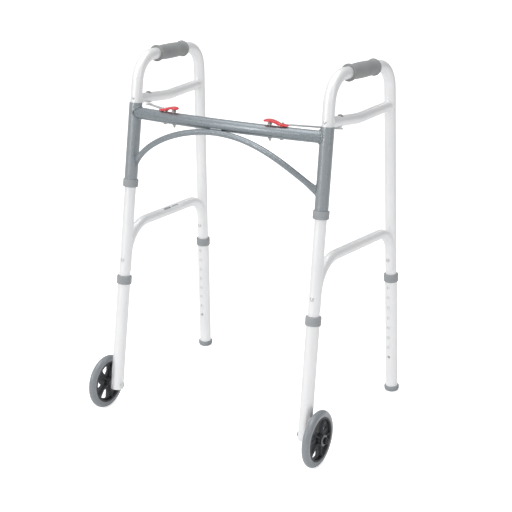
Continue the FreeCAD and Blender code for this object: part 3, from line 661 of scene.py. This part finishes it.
# a spacer against the leg and a broad washer under the nut
LEG_FACE, HUB_FACE = 14.52, 14.5    # from the leg's axis, and from the wheel's centre
both("axle_washer_rings", join(washer(LEG_FACE - WHEEL_OUT, -HUB_FACE, 9.0, 64),
                               washer(HUB_FACE, 16.1, 12.0, 96)),
     "front_leg", WASHER, "zinc_steel", "axle_washers", sharp=40)

# domed cap nut over the end of each axle: (along x, radius)
CAP_PROFILE = [
    (16.3, 0.0), (16.3, 4.2), (16.3, 6.9), (16.8, 7.4), (17.1, 7.5), (20.6, 7.5),
    (21.2, 7.1), (21.5, 6.4), (21.6, 5.9), (22.5, 5.75), (23.6, 5.6), (24.6, 5.1),
    (25.5, 4.2), (26.1, 3.0), (26.4, 1.5), (26.5, 0.0)]
NUT_HALF_FLATS, DOME_START = 6.5, 22.4


def hex_flats(along, radius, angle):
    """Cut six flats below the dome."""
    if radius < 5.0 or along > DOME_START:
        return 0.0
    sixth = math.pi / 3.0
    flat = NUT_HALF_FLATS / math.cos((angle + sixth / 2) % sixth - sixth / 2)
    return min(flat, radius) - radius


both("axle_cap_nut", lathe(CAP_PROFILE, wheel_centre, AXIS_X, loop=False, wobble=hex_flats),
     "front_leg", BLACK, "black_steel", "axle_nut", sharp=24)

# ------------------------------------------------------------------ buttons and height holes
BUTTON_Z, HOLE_PITCH, HOLES = 90.5, 25.4, 7
BUTTON_R, BUTTON_START, BUTTON_STEM, BUTTON_DOME = 2.9, 9.2, 3.4, 3.2
HOLE_EDGE_R = 3.45
# end, point on leg, leg axis, way the button points (at the other leg)
FRONT_ROW = ("front", front_at, FRONT_AXIS, FRONT_BACKWARD)
REAR_ROW = ("rear", rear_at, REAR_AXIS, -REAR_BACKWARD)

button_profile = [(BUTTON_START, 0), (BUTTON_START, BUTTON_R),
                  (BUTTON_START + BUTTON_STEM, BUTTON_R)]
for k in range(1, 8):
    angle = math.radians(90 * k / 7.0)
    button_profile.append((BUTTON_START + BUTTON_STEM + BUTTON_DOME * math.sin(angle),
                           BUTTON_R * math.cos(angle)))
for end, leg_at, leg_axis, facing in (FRONT_ROW, REAR_ROW):
    both(end + "_button_dome",
         lathe(button_profile, leg_at(BUTTON_Z), facing, 32, loop=False),
         end + "_button_body", ZINC, "zinc_steel", end + "_button", sharp=40)

# rims round the row of holes above each button; their grey, darker than the tube, is painted
# shade standing in for the shadow inside each hole
for end, leg_at, leg_axis, facing in (REAR_ROW, FRONT_ROW):
    across = facing.cross(leg_axis).normalized()
    edges = []
    for k in range(1, HOLES + 1):
        centre = leg_at(BUTTON_Z) + leg_axis * (HOLE_PITCH * k)
        path = loop_on_cylinder(centre + facing * 30, -facing, leg_axis * HOLE_EDGE_R,
                                across * HOLE_EDGE_R, centre, leg_axis, OUTER_R - 0.05, 36)
        edges.append(bead(path, 0.32, segments=8))
    both(end + "_hole_edges", join(*edges), end + "_leg", HOLE_RIM_SHADE, "anodised_tube", sharp=70)

# ------------------------------------------------------------------ weld: crossbar to sleeve
bar_end = front_at(BAR_Z).x
bar_sag = math.hypot(BAR_BOW, BAR_RISE)
bar_radius = (bar_end * bar_end + bar_sag * bar_sag) / (2 * bar_sag)


def bar_at(x):
    """Point on the crossbar's axis, an arc bowed forward and slightly up."""
    offset = math.sqrt(bar_radius * bar_radius - x * x) - (bar_radius - bar_sag)
    return Vector((x, front_y(BAR_Z) - offset * BAR_BOW / bar_sag - Y_SHIFT,
                   BAR_Z + offset * BAR_RISE / bar_sag))


bar_start = bar_at(bar_end - 40.0)
bar_heading = (bar_at(bar_end - 16.0) - bar_start).normalized()
up, across = square_to(bar_heading)
path = loop_on_cylinder(bar_start, bar_heading, up * (TUBE_R + 0.5), across * (TUBE_R + 0.5),
                        front_at(600), FRONT_AXIS, OUTER_R + 0.5, 72)
both("crossbar_weld", bead(path, 1.9, ripple=0.16, count=30), "front_frame", HAMMER,
     "hammertone", sharp=70)

# ------------------------------------------------------------------ weld: arch to sleeve
# (x, distance in front of the leg line, z) on the arch's axis near its end and at its end
ARCH_NEAR_END, ARCH_END = (205, 16.7, 590.6), (229, 0.8, 567.8)
ARCH_HALF_WIDTH, ARCH_HALF_DEPTH = 9.0, 2.5     # the bead goes round a flattened end
near_end, arch_end = [Vector((x, front_y(z) - ahead - Y_SHIFT, z))
                      for x, ahead, z in (ARCH_NEAR_END, ARCH_END)]
arch_heading = (arch_end - near_end).normalized()
wide = arch_heading.cross(Vector((0, 1, -0.16))).normalized()
deep = wide.cross(arch_heading).normalized()
path = loop_on_cylinder(near_end, arch_heading, wide * ARCH_HALF_WIDTH,
                        deep * ARCH_HALF_DEPTH, front_at(600), FRONT_AXIS, OUTER_R + 0.4, 60)
both("arch_weld", bead(path, 1.45, ripple=0.16, count=26), "front_frame", HAMMER,
     "hammertone", sharp=70)

# ------------------------------------------------------------------ weld: arch to crossbar
# two short beads, above and below the line where the arch touches the crossbar
ARCH_TOP_Y, ARCH_TOP_Z = -61.99, 669.6
arch_reach, bar_reach = ARCH_R + 1.5, TUBE_R + 1.5
for level, side in (("upper", 1), ("lower", -1)):
    path = []
    for k in range(31):
        x = -15.0 + k
        bar = bar_at(x)
        arch = Vector((x, ARCH_TOP_Y - Y_SHIFT - 0.0007 * x * x,
                       ARCH_TOP_Z - 0.0015 * x * x))
        gap = arch - bar
        length = gap.length
        # meeting point of two circles, round the bar and round the arch
        along = (bar_reach ** 2 - arch_reach ** 2 + length * length) / (2 * length)
        height = math.sqrt(bar_reach ** 2 - along * along)
        upward = Vector((0, gap.z, -gap.y)).normalized()
        path.append(bar + gap.normalized() * along + upward * (height * side))
    piece("arch_top_weld_" + level, bead(path, 1.9, closed=False, ripple=0.2, count=12),
          "front_frame", HAMMER, "hammertone", sharp=70)

# ------------------------------------------------------------------ weld: upper brace to legs
middle = side_point(*UPPER_BRACE[1])
for end, brace_end, centre, leg_axis in (
        ("front", UPPER_BRACE[0], front_at(700), FRONT_AXIS),
        ("rear", UPPER_BRACE[2], rear_at(690), REAR_AXIS)):
    heading = (side_point(*brace_end) - middle).normalized()
    up, across = square_to(heading)
    path = loop_on_cylinder(middle + heading * 40, heading, up * (BRACE_R + 0.35),
                            across * (BRACE_R + 0.35), centre, leg_axis, TUBE_R + 0.35, 64)
    both("upper_brace_" + end + "_weld", bead(path, 1.15, segments=10, ripple=0.16, count=28),
         "side_frame", RAIL, "anodised_tube", sharp=70)

# ------------------------------------------------------------------ release paddles
PADDLE_PIVOT_X, PADDLE_TURN = 141.9, math.radians(11.0)
PADDLE_STATIONS = [                 # (x, half width, underside z, top z)
    (103.5, 1.6, 703.9, 705.0), (103.9, 3.6, 703.3, 705.8), (105.2, 5.8, 702.8, 707.0),
    (107.5, 7.4, 702.8, 707.9), (111.0, 8.3, 703.0, 708.7), (116.0, 8.6, 703.1, 709.0),
    (121.0, 8.3, 702.4, 708.6), (126.0, 7.5, 701.0, 707.6), (130.0, 6.7, 699.3, 706.3),
    (133.5, 6.3, 697.2, 704.8), (136.5, 6.4, 695.5, 703.4), (140.0, 6.9, 695.2, 702.2),
    (144.0, 7.0, 695.2, 701.3), (148.0, 6.7, 695.3, 700.3), (152.0, 6.3, 695.4, 699.5),
    (154.8, 5.6, 695.6, 698.9), (156.2, 4.6, 695.9, 698.3), (156.9, 3.0, 696.4, 697.7)]
DISH_FROM, DISH_TO, DISH_DEPTH = 106, 134, 1.1      # shallow thumb dish in the top
HEEL_Z = 697.3
HEEL_HALF = [(-8.8, 0), (-8.8, 0.9), (-8.35, 1.35)]
pivot_y = bar_at(PADDLE_PIVOT_X).y
turn_cos, turn_sin = math.cos(PADDLE_TURN), math.sin(PADDLE_TURN)
sections = []
for x, half_width, under, top in PADDLE_STATIONS:
    ring = []
    for k in range(28):
        angle = 2 * math.pi * k / 28
        cosine, sine = math.cos(angle), math.sin(angle)
        y = half_width * math.copysign(abs(cosine) ** 0.75, cosine)
        z = (under + top) / 2 + (top - under) / 2 * math.copysign(abs(sine) ** 0.7, sine)
        if sine > 0.5 and DISH_FROM < x < DISH_TO:
            z -= (DISH_DEPTH * (1 - (y / half_width) ** 2)
                  * math.sin(math.pi * (x - DISH_FROM) / (DISH_TO - DISH_FROM)))
        from_pivot = x - PADDLE_PIVOT_X
        ring.append(Vector((PADDLE_PIVOT_X + from_pivot * turn_cos - y * turn_sin,
                            pivot_y + from_pivot * turn_sin + y * turn_cos, z)))
    sections.append(ring)
heel = lathe(HEEL_HALF + mirrored(HEEL_HALF), Vector((PADDLE_PIVOT_X, pivot_y, HEEL_Z)),
             Vector((-turn_sin, turn_cos, 0)), 32, loop=False)
both("paddle_pad", join(loft(sections), heel), "latch_lever", RED, "paddle_plastic",
     "release_paddle", sharp=60, subsurf=1)


# ------------------------------------------------------------------ label, left lower brace
def lower_brace(y):
    return side_point(y, 424.4 - 0.069 * y)


def patch(start_y, end_y, start_angle, end_angle, lift):
    """Curved patch on the lower brace; angles run from the top towards the middle."""
    rows, columns = 24, 12
    heading = (lower_brace(end_y) - lower_brace(start_y)).normalized()
    up, across = square_to(heading)
    verts, faces = [], []
    for radius in (BRACE_R + lift, BRACE_R - 0.1):
        for i in range(rows + 1):
            y = start_y + (end_y - start_y) * i / rows
            for j in range(columns + 1):
                angle = math.radians(start_angle + (end_angle - start_angle) * j / columns)
                offset = up * math.cos(angle) - across * math.sin(angle)
                verts.append(lower_brace(y) + offset * radius)
    stride = columns + 1
    base = (rows + 1) * stride      # first vertex of the underside
    for i in range(rows):
        for j in range(columns):
            corner = i * stride + j
            quad = (corner, corner + 1, corner + stride + 1, corner + stride)
            faces += [quad, tuple(base + k for k in quad[::-1])]
    border = []
    for i in range(rows):
        near, far = i * stride, i * stride + columns
        border += [(near, near + stride), (far + stride, far)]
    last = rows * stride
    for j in range(columns):
        border += [(j + 1, j), (last + j, last + j + 1)]
    faces += [(i, j, base + j, base + i) for i, j in border]
    return verts, faces


piece("brace_label", patch(70.0, 168.0, 6, 78, 0.12), "left_side_frame", LABEL,
      "grey_plastic", flip=True, sharp=50)
# two plain bars in place of print
piece("label_bars", join(patch(82.0, 110.0, 20, 48, 0.22), patch(115.0, 144.0, 26, 42, 0.22)),
      "left_side_frame", INK, "grey_plastic", flip=True, sharp=50)

# ------------------------------------------------------------------ floor (metres from here)
FLOOR_HALF, FLOOR_Z = 9.0, -0.0002
floor_mesh = bpy.data.meshes.new("floor")
floor_mesh.from_pydata([(x * FLOOR_HALF, y * FLOOR_HALF, FLOOR_Z)
                        for x, y in ((-1, -1), (1, -1), (1, 1), (-1, 1))],
                       [], [(0, 1, 2, 3)])
floor = bpy.data.objects.new("floor", floor_mesh)
bpy.context.scene.collection.objects.link(floor)
shader = Shader("pale_floor")
cloud = shader.noise(shader.coords(), scale=3.0, detail=2.0)
camera_ray = shader.add("LightPath").outputs["Is Camera Ray"]
shader.surface({
    "Base Color": shader.ramp(cloud, [(0.3, (0.93, 0.93, 0.93, 1.0)),
                                      (0.7, (0.94, 0.94, 0.94, 1.0))]),
    "Roughness": 0.9, "Specular IOR Level": 0.1, "Emission Color": (1, 1, 1, 1),
    # glows for the camera only, so it lights nothing
    "Emission Strength": shader.math("MULTIPLY", camera_ray, 0.62)})
floor_mesh.materials.append(shader.material)

# ------------------------------------------------------------------ camera
AZIMUTH, ELEVATION, ROLL = [math.radians(a) for a in (30.59022, 20.449675, -0.35543)]
CAMERA_PLACE = Vector((1.235435, -1.997744 - Y_SHIFT * METRES, 1.231597))
back = Vector((math.sin(AZIMUTH) * math.cos(ELEVATION),
               -math.cos(AZIMUTH) * math.cos(ELEVATION), math.sin(ELEVATION)))
level_right = Vector((math.cos(AZIMUTH), math.sin(AZIMUTH), 0))
level_up = level_right.cross(-back)
camera_right = level_right * math.cos(ROLL) + level_up * math.sin(ROLL)
camera_up = level_right * (-math.sin(ROLL)) + level_up * math.cos(ROLL)
camera_data = bpy.data.cameras.new("camera")
camera = bpy.data.objects.new("camera", camera_data)
bpy.context.scene.collection.objects.link(camera)
turn = Matrix((camera_right, camera_up, back)).transposed().to_4x4()
camera.matrix_world = Matrix.Translation(CAMERA_PLACE) @ turn
camera_data.sensor_width = 36.0
camera_data.lens = 80.2476140625
camera_data.shift_x = 0.002492578125
camera_data.shift_y = 0.020737109375
camera_data.clip_start, camera_data.clip_end = 0.05, 60.0
bpy.context.scene.camera = camera

# ------------------------------------------------------------------ world
# soft light, brightest to the camera's left; the camera itself sees plain white
BRIGHT_TURN, BRIGHT_LIFT = math.radians(65), 0.22   # left of the camera, and upward
SKY = ((0.25, 0.44), (0.5, 0.65), (0.72, 0.79), (0.88, 0.82))   # (position, brightness)
to_camera = Vector((back.x, back.y, 0)).normalized()
bright = to_camera * math.cos(BRIGHT_TURN) - level_right * math.sin(BRIGHT_TURN)
bright = (bright + AXIS_Z * BRIGHT_LIFT).normalized()
world = bpy.data.worlds.new("studio")
bpy.context.scene.world = world
world.use_nodes = True
sky = Nodes(world.node_tree)
output = sky.add("OutputWorld")
camera_ray = sky.add("LightPath").outputs["Is Camera Ray"]
direction = sky.add("TexCoord").outputs["Generated"]
facing = sky.add("VectorMath", {0: direction, 1: tuple(bright)}, operation="DOT_PRODUCT")
share = sky.span(facing.outputs["Value"], low=0.0, high=1.0, start=-1.0, end=1.0)
glow = sky.ramp(share, [(0.0, (0.34, 0.345, 0.35, 1)),
                        *((at, (v, v * 1.005, v * 1.015, 1)) for at, v in SKY),
                        (1.0, (0.80, 0.80, 0.80, 1))])
lighting = sky.add("Background", {"Strength": 0.98, "Color": glow})
backdrop = sky.add("Background", {"Strength": 1.0, "Color": (1, 1, 1, 1)})
mixed = sky.add("MixShader", {"Fac": camera_ray, 1: lighting.outputs["Background"],
                              2: backdrop.outputs["Background"]})
sky.feed(output, {"Surface": mixed.outputs["Shader"]})


# ------------------------------------------------------------------ lights
def area(name, place, target, width, height, power):
    light = bpy.data.lights.new(name, "AREA")
    light.shape = "RECTANGLE"
    light.size, light.size_y, light.energy = width, height, power
    obj = bpy.data.objects.new(name, light)
    bpy.context.scene.collection.objects.link(obj)
    obj.location = place
    obj.rotation_mode = "QUATERNION"
    obj.rotation_quaternion = (Vector(target) - Vector(place)).to_track_quat("-Z", "Y")


area("key", (-1.1, -2.7, 1.9), target=(0, 0, 0.45), width=0.8, height=1.6, power=11)
area("strip", (-0.9, -2.75, 1.5), target=(0, 0, 0.35), width=0.1, height=1.5, power=7)
area("rim", (2.95, -0.95, 1.6), target=(0, 0, 0.35), width=0.14, height=1.9, power=6)
area("top", (-0.2, -0.1, 3.2), target=(0, 0, 0.3), width=2.4, height=2.4, power=36)

view = bpy.context.scene.view_settings
view.view_transform = "Standard"
view.look = "None"
view.exposure = 0.0

bpy.context.view_layer.update()
